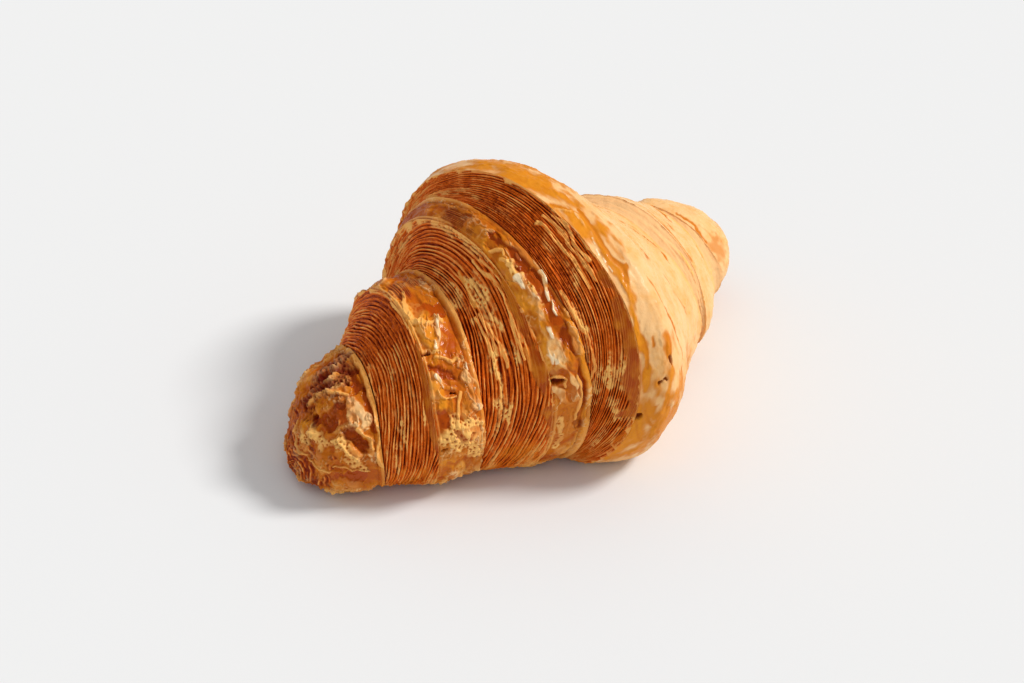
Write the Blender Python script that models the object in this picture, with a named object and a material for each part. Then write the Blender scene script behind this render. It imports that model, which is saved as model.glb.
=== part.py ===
"""A cornetto: one roll of laminated butter dough, coiled on itself and baked.

The roll lies along X with its underside flat on z = 0, and +Z is up. Lengths are in metres. It is one closed
solid. Each coil of dough ends in a cut face whose leaves have baked apart, so the body is a row of rings of
growing and then shrinking size: smooth skins, and between them the stepped faces where the leaves show.
"""

from collections import namedtuple

import bmesh
import bpy
import numpy as np

MM = 0.001

# The roll: its two noses, the bend of its middle line, and how it sits
NOSE_LEFT = -80.0 * MM
NOSE_RIGHT = 75.5 * MM
BEND = 3.96  # curvature of the middle line, 1/m
HEIGHT_TO_WIDTH = 0.81  # each section is a little lower than it is wide
AXIS_HEIGHT = 0.528  # height of a section's centre, as a share of its radius
LIFT_LEFT = 1.4 * MM  # how far the left nose is raised above that rule
LIFT_RIGHT = 15.2 * MM  # the right nose curls up clear of the surface
BASE_ROUNDING = 6.2 * MM  # the underside runs into the flat base over this height

# The rings: where each one crosses the middle line, its radius, how far its far side and its top lean to the
# right, and how far the section is pushed away, pushed up and made oval, as shares of the radius
Ring = namedtuple("Ring", "x radius lean_far lean_top push_far push_up oval")
RINGS = {
    "left nose": Ring(-66.7 * MM, 20.3 * MM, 1.5 * MM, 0.2 * MM, -0.03, -0.02, 0.00),
    "left tip": Ring(-58.5 * MM, 22.6 * MM, 3.2 * MM, 0.3 * MM, -0.03, -0.02, -0.01),
    "fourth coil": Ring(-47.3 * MM, 31.8 * MM, 2.9 * MM, 0.5 * MM, 0.02, 0.03, -0.03),
    "fourth face": Ring(-33.9 * MM, 32.4 * MM, 4.9 * MM, 0.9 * MM, 0.02, 0.03, -0.01),
    "third coil": Ring(-25.2 * MM, 42.0 * MM, -0.6 * MM, 2.1 * MM, 0.02, 0.03, -0.03),
    "third face": Ring(-17.1 * MM, 44.6 * MM, -1.0 * MM, 1.0 * MM, 0.00, 0.06, -0.02),
    "outer edge": Ring(-12.3 * MM, 50.5 * MM, -3.4 * MM, 5.9 * MM, -0.05, 0.06, 0.01),
    "crest": Ring(-3.4 * MM, 53.4 * MM, -0.9 * MM, 5.4 * MM, -0.04, -0.02, 0.04),
    "shoulder": Ring(15.4 * MM, 42.8 * MM, -0.9 * MM, -0.9 * MM, 0.01, 0.00, 0.01),
    "right ridge": Ring(32.9 * MM, 32.5 * MM, -1.6 * MM, -4.4 * MM, 0.09, 0.02, 0.02),
    "right step": Ring(36.2 * MM, 30.8 * MM, 0.1 * MM, 0.0 * MM, 0.01, 0.01, 0.00),
    "right edge": Ring(50.7 * MM, 22.0 * MM, 1.5 * MM, -0.5 * MM, 0.00, -0.01, 0.00),
    "right tip": Ring(53.9 * MM, 20.4 * MM, -1.1 * MM, -1.0 * MM, 0.00, -0.02, 0.00),
}

# The bands between the rings: the two rings, the rows of faces, how far the dough swells between them, and
# the depth of the leaves that show on it
Band = namedtuple("Band", "start end rows swell leaf_depth")
BANDS = (
    Band("left nose", "left tip", 4, 0.5 * MM, 0.0),
    Band("left tip", "fourth coil", 10, -0.5 * MM, 1.0 * MM),
    Band("fourth coil", "fourth face", 6, 1.3 * MM, 0.0),
    Band("fourth face", "third coil", 10, -0.6 * MM, 1.1 * MM),
    Band("third coil", "third face", 5, 1.0 * MM, 0.0),
    Band("third face", "outer edge", 12, -0.4 * MM, 0.8 * MM),
    Band("outer edge", "crest", 5, 0.9 * MM, 0.0),
    Band("crest", "shoulder", 7, 1.5 * MM, 0.0),
    Band("shoulder", "right ridge", 5, 0.0, 0.0),
    Band("right ridge", "right step", 2, 0.0, 0.5 * MM),
    Band("right step", "right edge", 5, 0.5 * MM, 0.0),
    Band("right edge", "right tip", 2, -0.5 * MM, 0.0),
)
NOSE_ROWS = 8
# A nose's size at this share of its reach is (1 - reach ** sharpness) ** fullness: an ellipse has 2 and 0.5, and
# these are a little more pointed
NOSE_SHARPNESS = 1.3
NOSE_FULLNESS = 0.55
SEGMENTS = 64  # faces round the roll

# Uneven dough: low swellings on the skins, and the waver of the edges
SWELLING = 0.55 * MM
SWELLING_FADE = 20 * MM  # rings smaller than this swell less, down to none at the noses
WAVER = 0.5 * MM
WAVER_PITCH = 90 * MM  # the waver drifts once round the roll over about this length
SWELLING_PITCH = 25 * MM

CRUST_COLOUR = (0.55, 0.23, 0.05, 1.0)
CRUST_ROUGHNESS = 0.42


def clear_scene():
    """Removes every object of the startup scene."""
    for item in list(bpy.data.objects):
        bpy.data.objects.remove(item, do_unlink=True)


def shrunk(ring, x, size):
    """A ring moved to x and made smaller, with its leans."""
    return ring._replace(x=x, radius=ring.radius * size, lean_far=ring.lean_far * size,
                         lean_top=ring.lean_top * size)


def nose_rows(ring, nose_x):
    """The rings of a rounded nose, from its point, which has no size, up to just before the ring it grows from."""
    rows = []
    for row in range(NOSE_ROWS):
        size = np.sin(np.pi / 2 * row / NOSE_ROWS)
        reach = (1 - size ** (1 / NOSE_FULLNESS)) ** (1 / NOSE_SHARPNESS)
        rows.append(shrunk(ring, ring.x + (nose_x - ring.x) * reach, size))
    return rows


def band_rows(band):
    """The rings of one band, from its first ring up to its second, which is the next band's first."""
    start = RINGS[band.start]
    end = RINGS[band.end]
    rows = []
    for row in range(band.rows):
        share = row / band.rows
        between = Ring(*(a + (b - a) * share for a, b in zip(start, end)))
        swell = 4 * share * (1 - share) * band.swell
        leaf = band.leaf_depth / 2 if row % 2 else -band.leaf_depth / 2
        rows.append(between._replace(radius=between.radius + swell + leaf))
    return rows


def all_rows():
    """Every ring of vertices, from the left nose's point to the right one's."""
    rows = nose_rows(RINGS[BANDS[0].start], NOSE_LEFT)
    for band in BANDS:
        rows += band_rows(band)
    last = RINGS[BANDS[-1].end]
    return rows + [last] + nose_rows(last, NOSE_RIGHT)[::-1]


def settle(height):
    """Heights with the underside made flat: 0 well below the base, and a parabola up to the free surface."""
    near = (height + BASE_ROUNDING) ** 2 / (4 * BASE_ROUNDING)
    return np.where(height <= -BASE_ROUNDING, 0.0, np.where(height >= BASE_ROUNDING, height, near))


def point_on_roll(ring, turn):
    """A point of a ring at this angle about the roll: 0 is its far side, and a quarter turn its top."""
    far = np.cos(turn)
    top = np.sin(turn)
    whole = min(1.0, ring.radius / SWELLING_FADE)
    waver = WAVER * whole * np.sin(3 * turn + 2 * np.pi * ring.x / WAVER_PITCH)
    along = ring.x + ring.lean_far * far + ring.lean_top * top + waver
    drift = 2 * np.pi * ring.x / SWELLING_PITCH
    uneven = SWELLING * whole * np.sin(5 * turn + drift) * np.sin(2 * turn - drift / 2)
    shape = 1 + ring.push_far * far + ring.push_up * top + ring.oval * np.cos(2 * turn)
    radius = ring.radius * shape + uneven
    lift = LIFT_LEFT * np.clip(along / NOSE_LEFT, 0, None) ** 2
    lift += LIFT_RIGHT * np.clip(along / NOSE_RIGHT, 0, None) ** 2
    height = settle(AXIS_HEIGHT * ring.radius + lift + HEIGHT_TO_WIDTH * radius * top)
    across = BEND / 2 * along**2 + radius * far
    return along - BEND * along * radius * far, across, height


def shape_dough(sphere, rows):
    """Carries each vertex of a unit sphere out to the roll: its latitude gives the ring, its longitude the turn."""
    for vertex in sphere.verts:
        latitude = np.arccos(np.clip(-vertex.co.z, -1, 1)) / np.pi
        ring = rows[round(latitude * (len(rows) - 1))]
        vertex.co = point_on_roll(ring, np.arctan2(vertex.co.y, vertex.co.x))


def centre_on_origin(mesh):
    """Moves the mesh so that the middle of its box is over the origin, with its base at z = 0."""
    points = np.empty(len(mesh.vertices) * 3, np.float32)
    mesh.vertices.foreach_get("co", points)
    points = points.reshape(-1, 3)
    low = points.min(axis=0)
    high = points.max(axis=0)
    points -= np.array([(low[0] + high[0]) / 2, (low[1] + high[1]) / 2, low[2]], np.float32)
    mesh.vertices.foreach_set("co", points.ravel())
    mesh.update()


def make_dough(collection):
    """The cornetto's solid, from a sphere whose two poles become the noses."""
    rows = all_rows()
    sphere = bmesh.new()
    bmesh.ops.create_uvsphere(sphere, u_segments=SEGMENTS, v_segments=len(rows) - 1, radius=1.0)
    shape_dough(sphere, rows)
    bmesh.ops.triangulate(sphere, faces=sphere.faces[:])
    bmesh.ops.recalc_face_normals(sphere, faces=sphere.faces[:])
    mesh = bpy.data.meshes.new("cornetto")
    sphere.to_mesh(mesh)
    sphere.free()
    centre_on_origin(mesh)
    mesh.shade_smooth()
    dough = bpy.data.objects.new("cornetto", mesh)
    collection.objects.link(dough)
    return dough


def crust_material():
    """Golden-brown baked crust with a light shine."""
    material = bpy.data.materials.new("baked crust")
    material.use_nodes = True
    shader = material.node_tree.nodes["Principled BSDF"]
    shader.inputs["Base Color"].default_value = CRUST_COLOUR
    shader.inputs["Roughness"].default_value = CRUST_ROUGHNESS
    shader.inputs["Metallic"].default_value = 0.0
    return material


def main():
    clear_scene()
    collection = bpy.data.collections.new("cornetto")
    bpy.context.scene.collection.children.link(collection)
    dough = make_dough(collection)
    dough.data.materials.append(crust_material())


main()
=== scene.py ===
"""A cornetto of laminated dough: its coils, their cut faces with the baked leaves, and the washed skins.

Every piece is a band of the same roll. A band lies between two rings round the roll, and a point on it is
given by its share of the way between them and by its turn about the roll: 0 is the far side, a quarter turn
the top.
"""

import math
from collections import namedtuple

import bpy
import numpy as np
from mathutils import Matrix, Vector
from bpy.props import FloatProperty, FloatVectorProperty, PointerProperty


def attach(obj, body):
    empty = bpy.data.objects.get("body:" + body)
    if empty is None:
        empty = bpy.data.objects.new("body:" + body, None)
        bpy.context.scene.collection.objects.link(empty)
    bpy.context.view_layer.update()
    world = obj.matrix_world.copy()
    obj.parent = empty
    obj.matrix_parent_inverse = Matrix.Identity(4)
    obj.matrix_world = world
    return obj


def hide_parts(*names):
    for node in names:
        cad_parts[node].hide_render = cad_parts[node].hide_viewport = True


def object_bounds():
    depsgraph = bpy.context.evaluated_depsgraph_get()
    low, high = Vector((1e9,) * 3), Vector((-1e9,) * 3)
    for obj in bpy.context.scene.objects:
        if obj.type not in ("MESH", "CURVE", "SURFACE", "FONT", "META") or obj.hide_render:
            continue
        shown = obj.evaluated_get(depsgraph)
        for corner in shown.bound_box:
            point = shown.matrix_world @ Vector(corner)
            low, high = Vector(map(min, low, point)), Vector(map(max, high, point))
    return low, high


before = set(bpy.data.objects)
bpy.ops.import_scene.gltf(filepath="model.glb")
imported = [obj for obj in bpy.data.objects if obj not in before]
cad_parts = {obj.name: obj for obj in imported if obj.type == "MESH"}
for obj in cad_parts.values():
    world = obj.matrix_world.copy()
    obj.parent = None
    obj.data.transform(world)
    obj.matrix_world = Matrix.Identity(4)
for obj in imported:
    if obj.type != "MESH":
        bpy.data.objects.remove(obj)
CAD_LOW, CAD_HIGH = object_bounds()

bl_info = {
    "name": "Cornetto",
    "version": (1, 0, 0),
    "blender": (4, 5, 0),
    "location": "View3D > Sidebar > Cornetto",
    "description": "Bakes the coils, leaves and skins of a cornetto",
    "category": "Object",
}

MM = 0.001
NODE = "cornetto"

# The roll, in metres: its two noses, its bend, and how it sits on its flat underside
NOSE_LEFT = -80.0 * MM
NOSE_RIGHT = 75.5 * MM
BEND = 3.96
HEIGHT_TO_WIDTH = 0.81
AXIS_HEIGHT = 0.528
LIFT_LEFT = 1.4 * MM
LIFT_RIGHT = 15.2 * MM
BASE_ROUNDING = 6.2 * MM
NOSE_SHARPNESS = 1.3
NOSE_FULLNESS = 0.55
NOSE_KNOTS = 9
SWELLING = 0.55 * MM
SWELLING_FADE = 20 * MM
SWELLING_PITCH = 25 * MM
WAVER = 0.5 * MM
WAVER_PITCH = 90 * MM

# Each ring: its place along the roll, its radius, how far its far side and its top lean to the right, and
# how far it is pushed away, pushed up and made oval, as shares of the radius
RINGS = {
    "left nose": (-66.7 * MM, 20.3 * MM, 1.5 * MM, 0.2 * MM, -0.03, -0.02, 0.00),
    "left tip": (-58.5 * MM, 22.6 * MM, 3.2 * MM, 0.3 * MM, -0.03, -0.02, -0.01),
    "fourth coil": (-47.3 * MM, 31.8 * MM, 2.9 * MM, 0.5 * MM, 0.02, 0.03, -0.03),
    "fourth face": (-33.9 * MM, 32.4 * MM, 4.9 * MM, 0.9 * MM, 0.02, 0.03, -0.01),
    "third coil": (-25.2 * MM, 42.0 * MM, -0.6 * MM, 2.1 * MM, 0.02, 0.03, -0.03),
    "third face": (-17.1 * MM, 44.6 * MM, -1.0 * MM, 1.0 * MM, 0.00, 0.06, -0.02),
    "outer edge": (-12.3 * MM, 50.5 * MM, -3.4 * MM, 5.9 * MM, -0.05, 0.06, 0.01),
    "crest": (-3.4 * MM, 53.4 * MM, -0.9 * MM, 5.4 * MM, -0.04, -0.02, 0.04),
    "shoulder": (15.4 * MM, 42.8 * MM, -0.9 * MM, -0.9 * MM, 0.01, 0.00, 0.01),
    "right ridge": (32.9 * MM, 32.5 * MM, -1.6 * MM, -4.4 * MM, 0.09, 0.02, 0.02),
    "right step": (36.2 * MM, 30.8 * MM, 0.1 * MM, 0.0 * MM, 0.01, 0.01, 0.00),
    "right edge": (50.7 * MM, 22.0 * MM, 1.5 * MM, -0.5 * MM, 0.00, -0.01, 0.00),
    "right tip": (53.9 * MM, 20.4 * MM, -1.1 * MM, -1.0 * MM, 0.00, -0.02, 0.00),
}
X, RADIUS, LEAN_FAR, LEAN_TOP = range(4)

# A mark on the dough: its kind, its middle as a share of the way across its band and a turn in degrees,
# half its width and height in the same, its slant and its strength
Mark = namedtuple("Mark", "kind share turn wide tall slant amount", defaults=(0.0, 1.0))
# A stroke: its kind, half its width in millimetres, the places that it runs through, each a share and a
# turn, and its strength
Stroke = namedtuple("Stroke", "kind wide places amount", defaults=(1.0,))

# Of the kinds, shine is glossy and also painted pale as a highlight; deep, pit and void paint shade into
# hollows, pits and gaps, deep on top of brown wash; rim, goldrim and the lips are painted paler, partly as
# light catching them
TIP_MARKS = (
    Mark("leaves", 0.12, 130, 0.19, 75),
    Mark("leaves", 0.22, 182, 0.24, 24),
    Mark("crumb", 0.74, 86, 0.22, 20),
    Stroke("deep", 1.6, ((0.62, 76), (0.74, 84), (0.86, 90))),
    Stroke("deep", 1.0, ((0.48, 86), (0.60, 91), (0.74, 97))),
    Mark("leaves", 0.62, 78, 0.32, 12, 0.0, 0.7),
    Stroke("rim", 0.45, ((0.99, 80), (0.985, 104), (0.97, 111), (0.98, 131), (0.99, 145), (0.99, 160),
                         (0.99, 176))),
    Stroke("deep", 2.0, ((0.92, 96), (0.90, 106), (0.87, 114))),
    Stroke("rim", 0.55, ((0.50, 92), (0.57, 97), (0.66, 100), (0.75, 105), (0.80, 114))),
    Stroke("gold", 1.7, ((0.42, 100), (0.50, 107), (0.60, 109))),
    Stroke("pool", 2.0, ((0.60, 119), (0.72, 126)), 0.9),
    Stroke("deep", 1.5, ((0.52, 117), (0.60, 128))),
    Stroke("deep", 0.7, ((0.69, 117), (0.77, 120))),
    Stroke("pale", 1.7, ((0.82, 123), (0.85, 138)), 0.9),
    Stroke("pool", 0.9, ((0.94, 118), (0.95, 148))),
    Stroke("deep", 1.1, ((0.71, 139), (0.78, 149), (0.85, 160))),
    Stroke("rim", 0.35, ((0.78, 142), (0.84, 148), (0.90, 152), (0.95, 161))),
    Stroke("froth", 1.6, ((0.36, 116), (0.46, 130), (0.56, 143), (0.66, 154), (0.74, 166),
                          (0.82, 178)), 0.9),
    Stroke("rim", 0.45, ((0.58, 143), (0.64, 151), (0.70, 163), (0.78, 168)), 0.9),
    Stroke("pool", 0.7, ((0.41, 132), (0.40, 146)), 0.8),
    Stroke("rim", 0.4, ((0.36, 84), (0.29, 100), (0.26, 115), (0.27, 130), (0.33, 150), (0.42, 165),
                        (0.52, 176))),
    Stroke("pool", 2.4, ((0.58, 182), (0.78, 188))),
    Stroke("rim", 0.4, ((0.55, 170), (0.66, 173), (0.74, 178), (0.86, 182)), 0.8),
)
FOURTH_FACE_MARKS = (
    Mark("froth", 0.44, 160, 0.05, 15, -0.5),
    Mark("froth", 0.86, 156, 0.04, 6, 0.0, 0.8),
    Mark("froth", 0.43, 121, 0.03, 6, 0.0, 0.6),
    Mark("froth", 0.12, 96, 0.06, 8, 0.0, 0.7),
    Mark("crumb", 0.45, 88, 0.42, 14),
    Mark("gold", 0.50, 204, 0.50, 13, 0.0, 0.8),
    Stroke("rim", 0.35, ((0.07, 100), (0.09, 112), (0.07, 124)), 0.8),
    Stroke("strip", 0.9, ((0.99, 115), (0.98, 150), (0.99, 185))),
)
FOURTH_SKIN_MARKS = (
    Mark("leaves", 0.40, 76, 0.50, 8, 0.0, 0.8),
    Mark("gold", 0.15, 112, 0.22, 16),
    Stroke("rim", 0.6, ((0.30, 83), (0.15, 88), (0.10, 94), (0.13, 102), (0.28, 106), (0.51, 106),
                        (0.64, 108))),
    Stroke("pool", 2.0, ((0.38, 97), (0.52, 98), (0.66, 103))),
    Stroke("shine", 0.85, ((0.52, 107), (0.46, 110), (0.42, 113), (0.35, 119))),
    Stroke("pool", 2.1, ((0.58, 112), (0.76, 116), (0.62, 123)), 0.8),
    Stroke("pit", 0.35, ((0.02, 120), (0.20, 121))),
    Stroke("froth", 0.6, ((0.10, 119), (0.38, 122)), 0.8),
    Stroke("gold", 0.9, ((0.0, 123), (0.28, 125))),
    Stroke("rim", 0.4, ((0.30, 124), (0.52, 126), (0.68, 130))),
    Stroke("deep", 1.2, ((0.10, 128), (0.33, 130), (0.65, 135))),
    Stroke("pool", 0.5, ((0.33, 128), (0.42, 129)), 0.8),
    Stroke("shine", 0.75, ((0.23, 133), (0.29, 136), (0.36, 140), (0.50, 143))),
    Stroke("deep", 1.0, ((0.40, 134), (0.66, 138))),
    Stroke("pit", 0.4, ((0.42, 145), (0.48, 146))),
    Stroke("rim", 0.3, ((0.14, 141), (0.20, 145), (0.30, 147), (0.48, 148))),
    Stroke("pale", 1.1, ((0.74, 139), (0.86, 146), (0.87, 154))),
    Stroke("shine", 0.35, ((0.80, 129), (0.87, 137))),
    Stroke("shine", 0.3, ((0.91, 146), (0.90, 156))),
    Stroke("gold", 1.5, ((0.12, 138), (0.18, 150))),
    Stroke("rim", 0.55, ((0.60, 146), (0.50, 152), (0.44, 159), (0.40, 164))),
    Stroke("tan", 1.4, ((0.69, 149), (0.66, 155), (0.60, 161))),
    Stroke("pool", 1.2, ((0.10, 154), (0.16, 161))),
    Stroke("froth", 1.7, ((0.25, 161), (0.49, 163), (0.80, 166))),
    Stroke("froth", 2.6, ((0.20, 170), (0.44, 173), (0.68, 182), (0.80, 188))),
    Stroke("pool", 0.8, ((0.36, 168), (0.45, 175)), 0.8),
    Stroke("pool", 0.8, ((0.56, 176), (0.66, 172)), 0.7),
    Stroke("pit", 0.55, ((0.05, 178), (0.12, 178))),
    Stroke("gold", 1.5, ((0.08, 186), (0.30, 192), (0.60, 197))),
)
THIRD_FACE_MARKS = (
    Mark("froth", 0.07, 104, 0.09, 6),
    Mark("froth", 0.22, 128, 0.05, 9, -0.3),
    Mark("froth", 0.58, 112, 0.09, 17, 0.2),
    Mark("froth", 0.66, 141, 0.05, 10, -0.4),
    Mark("froth", 0.30, 151, 0.05, 9, -0.4, 0.9),
    Mark("froth", 0.42, 168, 0.05, 9, -0.4, 0.9),
    Mark("froth", 0.76, 98, 0.05, 5, 0.0, 0.7),
    Mark("froth", 0.20, 190, 0.08, 8, -0.4, 0.6),
    Mark("void", 0.10, 122, 0.10, 10, 0.0, 0.9),
    Mark("void", 0.20, 100, 0.12, 12, 0.0, 0.7),
    Mark("void", 0.36, 130, 0.07, 14, -0.4, 0.9),
    Mark("void", 0.50, 142, 0.06, 14, -0.4, 0.8),
    Mark("gold", 0.50, 206, 0.60, 14, 0.0, 0.8),
    Stroke("goldrim", 0.6, ((0.52, 92), (0.50, 98), (0.46, 106), (0.44, 112)), 0.9),
    Stroke("rim", 0.4, ((0.84, 96), (0.86, 108), (0.84, 120), (0.79, 134), (0.77, 146))),
    Stroke("rim", 0.35, ((0.91, 98), (0.92, 112), (0.89, 126), (0.84, 138)), 0.9),
    Stroke("rim", 0.35, ((0.35, 116), (0.38, 126), (0.34, 136), (0.26, 146))),
    Stroke("rim", 0.3, ((0.44, 116), (0.45, 128), (0.40, 138)), 0.9),
    Stroke("rim", 0.3, ((0.49, 120), (0.50, 132), (0.47, 144)), 0.9),
    Stroke("strip", 1.3, ((0.97, 108), (0.94, 130), (0.92, 150), (0.94, 175), (0.97, 190))),
    Stroke("goldrim", 0.9, ((0.84, 141), (0.85, 150)), 0.7),
)
THIRD_SKIN_MARKS = (
    Mark("leaves", 0.40, 77, 0.50, 9, 0.0, 0.8),
    Mark("gold", 0.20, 104, 0.26, 12),
    Mark("gold", 0.08, 90, 0.3, 8, 0.0, 0.6),
    Stroke("deep", 1.7, ((0.42, 97), (0.61, 101), (0.74, 106), (0.76, 113))),
    Stroke("rim", 0.4, ((0.10, 100), (0.25, 101), (0.40, 103), (0.36, 105))),
    Stroke("rim", 0.5, ((0.17, 105), (0.35, 108), (0.55, 109)), 0.9),
    Stroke("pale", 0.5, ((0.10, 92), (0.30, 92), (0.60, 94)), 0.6),
    Stroke("gold", 1.0, ((0.09, 111), (0.17, 118), (0.18, 125), (0.15, 134), (0.13, 142), (0.08, 148),
                         (0.13, 156))),
    Stroke("froth", 0.9, ((0.33, 109), (0.48, 114), (0.46, 122), (0.43, 128)), 0.9),
    Stroke("shine", 0.95, ((0.34, 115), (0.34, 121), (0.28, 128))),
    Stroke("shine", 1.15, ((0.23, 131), (0.26, 137), (0.27, 142), (0.23, 147), (0.29, 151))),
    Stroke("pool", 1.0, ((0.60, 117), (0.60, 126), (0.54, 132), (0.56, 138))),
    Stroke("deep", 0.5, ((0.80, 116), (0.88, 127), (0.86, 136))),
    Stroke("shine", 0.4, ((0.92, 118), (0.82, 124), (0.63, 129))),
    Stroke("shine", 0.3, ((0.76, 129), (0.64, 133), (0.68, 136))),
    Stroke("deep", 1.2, ((0.60, 139), (0.50, 144), (0.56, 150), (0.66, 156))),
    Stroke("pit", 0.75, ((0.16, 160), (0.21, 160))),
    Stroke("rim", 0.35, ((0.06, 158), (0.18, 157.5), (0.28, 160), (0.20, 163)), 0.8),
    Stroke("pale", 0.7, ((0.37, 150), (0.41, 157), (0.46, 163), (0.47, 171))),
    Stroke("pale", 0.9, ((0.03, 163), (0.16, 168), (0.30, 172))),
    Mark("tan", 0.42, 184, 0.22, 12),
    Stroke("deep", 0.8, ((0.72, 157), (0.75, 168), (0.71, 179), (0.69, 188))),
    Stroke("rim", 0.4, ((0.60, 160), (0.62, 168), (0.60, 176), (0.56, 182)), 0.9),
    Stroke("goldrim", 0.8, ((0.90, 140), (0.90, 170), (0.87, 186), (0.77, 196), (0.50, 203))),
    Stroke("froth", 0.8, ((0.08, 178), (0.16, 188), (0.22, 200)), 0.8),
    Stroke("pale", 0.3, ((0.40, 176), (0.42, 184), (0.38, 192)), 0.6),
)
OUTER_FACE_MARKS = (
    Mark("crumb", 0.40, 98, 0.50, 20),
    Mark("crumb", 0.30, 122, 0.22, 11),
    Mark("froth", 0.20, 146, 0.05, 12, -0.5, 0.9),
    Mark("froth", 0.46, 161, 0.05, 10, -0.4),
    Mark("froth", 0.70, 166, 0.05, 10, -0.4),
    Mark("froth", 0.60, 181, 0.08, 4),
    Mark("froth", 0.84, 189, 0.08, 8, 0.4),
    Mark("froth", 0.24, 168, 0.05, 9, -0.4, 0.8),
    Mark("void", 0.45, 134, 0.10, 18, -0.5, 0.8),
    Mark("void", 0.86, 116, 0.08, 12, 0.0, 0.8),
    Mark("void", 0.66, 132, 0.08, 14, -0.4, 0.7),
    Mark("void", 0.80, 92, 0.16, 12, 0.0, 0.7),
    Mark("gold", 0.30, 208, 0.60, 12, 0.0, 0.7),
    Stroke("rim", 0.35, ((0.60, 104), (0.64, 114), (0.66, 124), (0.64, 134))),
    Stroke("rim", 0.3, ((0.74, 104), (0.78, 112), (0.82, 122), (0.82, 132)), 0.9),
    Stroke("rim", 0.3, ((0.86, 106), (0.90, 116), (0.93, 126)), 0.9),
    Stroke("rim", 0.35, ((0.14, 128), (0.16, 140), (0.13, 152), (0.08, 164)), 0.9),
    Stroke("strip", 1.6, ((1.0, 132), (0.96, 142), (0.93, 158), (0.95, 174), (1.0, 182))),
    Stroke("goldrim", 0.7, ((0.93, 141), (0.95, 152)), 0.8),
)
OUTER_SKIN_MARKS = (
    Mark("gold", 0.10, 84, 0.24, 20),
    Mark("gold", 0.08, 112, 0.10, 12, 0.5),
    Stroke("gold", 1.7, ((0.10, 108), (0.10, 117), (0.07, 124), (0.07, 132), (0.05, 138), (0.02, 146))),
    Stroke("ochre", 0.8, ((0.13, 110), (0.12, 117), (0.09, 123), (0.09, 128), (0.11, 133), (0.07, 137))),
    Stroke("gold", 0.9, ((0.02, 146), (0.03, 158), (0.035, 166), (0.02, 174))),
    Stroke("ochre", 0.5, ((0.035, 158), (0.035, 166))),
    Stroke("pale", 1.1, ((0.14, 92), (0.20, 96), (0.22, 99)), 0.4),
    Stroke("ochre", 0.4, ((0.03, 103), (0.08, 107))),
    Stroke("rim", 0.3, ((0.02, 105), (0.08, 108.5))),
    Stroke("shine", 0.5, ((0.19, 101), (0.17, 104))),
    Stroke("shine", 0.5, ((0.09, 110), (0.07, 114))),
    Stroke("shine", 0.3, ((0.055, 119), (0.05, 121))),
    Stroke("shine", 0.35, ((0.035, 123), (0.03, 125))),
    Stroke("shine", 0.3, ((0.04, 127), (0.035, 128.5))),
    Stroke("shine", 0.3, ((0.04, 130), (0.04, 132))),
    Stroke("brush", 0.35, ((0.22, 138), (0.24, 144), (0.26, 152), (0.31, 159), (0.34, 167), (0.31, 172))),
    Stroke("ochre", 0.4, ((0.26, 151), (0.31, 159), (0.33, 163))),
    Stroke("brush", 0.9, ((0.50, 124), (0.54, 129), (0.46, 133)), 0.8),
    Stroke("brush", 0.35, ((0.60, 92), (0.75, 104), (0.86, 112), (0.93, 120), (0.93, 134))),
    Stroke("brush", 0.3, ((0.70, 96), (0.82, 106), (0.88, 114)), 0.8),
    Stroke("brush", 0.3, ((0.62, 140), (0.70, 150), (0.74, 162)), 0.6),
    Stroke("brush", 1.2, ((0.17, 158), (0.17, 164)), 0.8),
    Stroke("pit", 0.6, ((0.17, 166), (0.18, 167))),
    Stroke("pit", 0.3, ((0.10, 172), (0.13, 171), (0.145, 172)), 0.8),
    Stroke("pit", 0.6, ((0.005, 184), (0.03, 184))),
    Stroke("brush", 0.6, ((0.04, 155), (0.04, 158)), 0.9),
    Stroke("brush", 0.5, ((0.09, 157), (0.09, 159)), 0.9),
    Stroke("brush", 1.3, ((0.17, 179), (0.18, 183))),
    Stroke("brush", 0.6, ((0.07, 182), (0.12, 180)), 0.8),
    Mark("gold", 0.06, 192, 0.30, 18),
    Mark("gold", 0.42, 188, 0.24, 12, 0.0, 0.4),
    Stroke("ochre", 0.35, ((0.01, 186), (0.05, 192), (0.12, 197)), 0.8),
    Stroke("ochre", 0.35, ((0.05, 182), (0.11, 189), (0.2, 194)), 0.8),
    Stroke("ochre", 0.3, ((0.13, 184), (0.2, 188), (0.3, 190)), 0.7),
    Mark("brush", 0.20, 188, 0.10, 8, 0.4, 0.8),
)
RIGHT_SKIN_MARKS = (
    Stroke("brush", 0.9, ((0.98, 84), (0.90, 96), (0.80, 111))),
    Stroke("ochre", 0.5, ((0.95, 88), (0.86, 100), (0.78, 111))),
    Stroke("brush", 0.7, ((0.30, 84), (0.25, 94), (0.30, 104)), 0.7),
    Stroke("brush", 0.8, ((0.50, 112), (0.46, 118)), 0.8),
    Stroke("brush", 0.5, ((0.10, 100), (0.12, 120), (0.10, 140)), 0.6),
    Stroke("brush", 0.5, ((0.95, 120), (0.90, 134), (0.94, 150)), 0.8),
)
RIGHT_TIP_MARKS = (
    Stroke("brush", 0.7, ((0.03, 104), (0.05, 120), (0.04, 140))),
    Mark("brush", 0.16, 155, 0.12, 14, 0.0, 0.5),
    Mark("brush", 0.60, 140, 0.14, 14, 0.0, 0.4),
)

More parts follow.
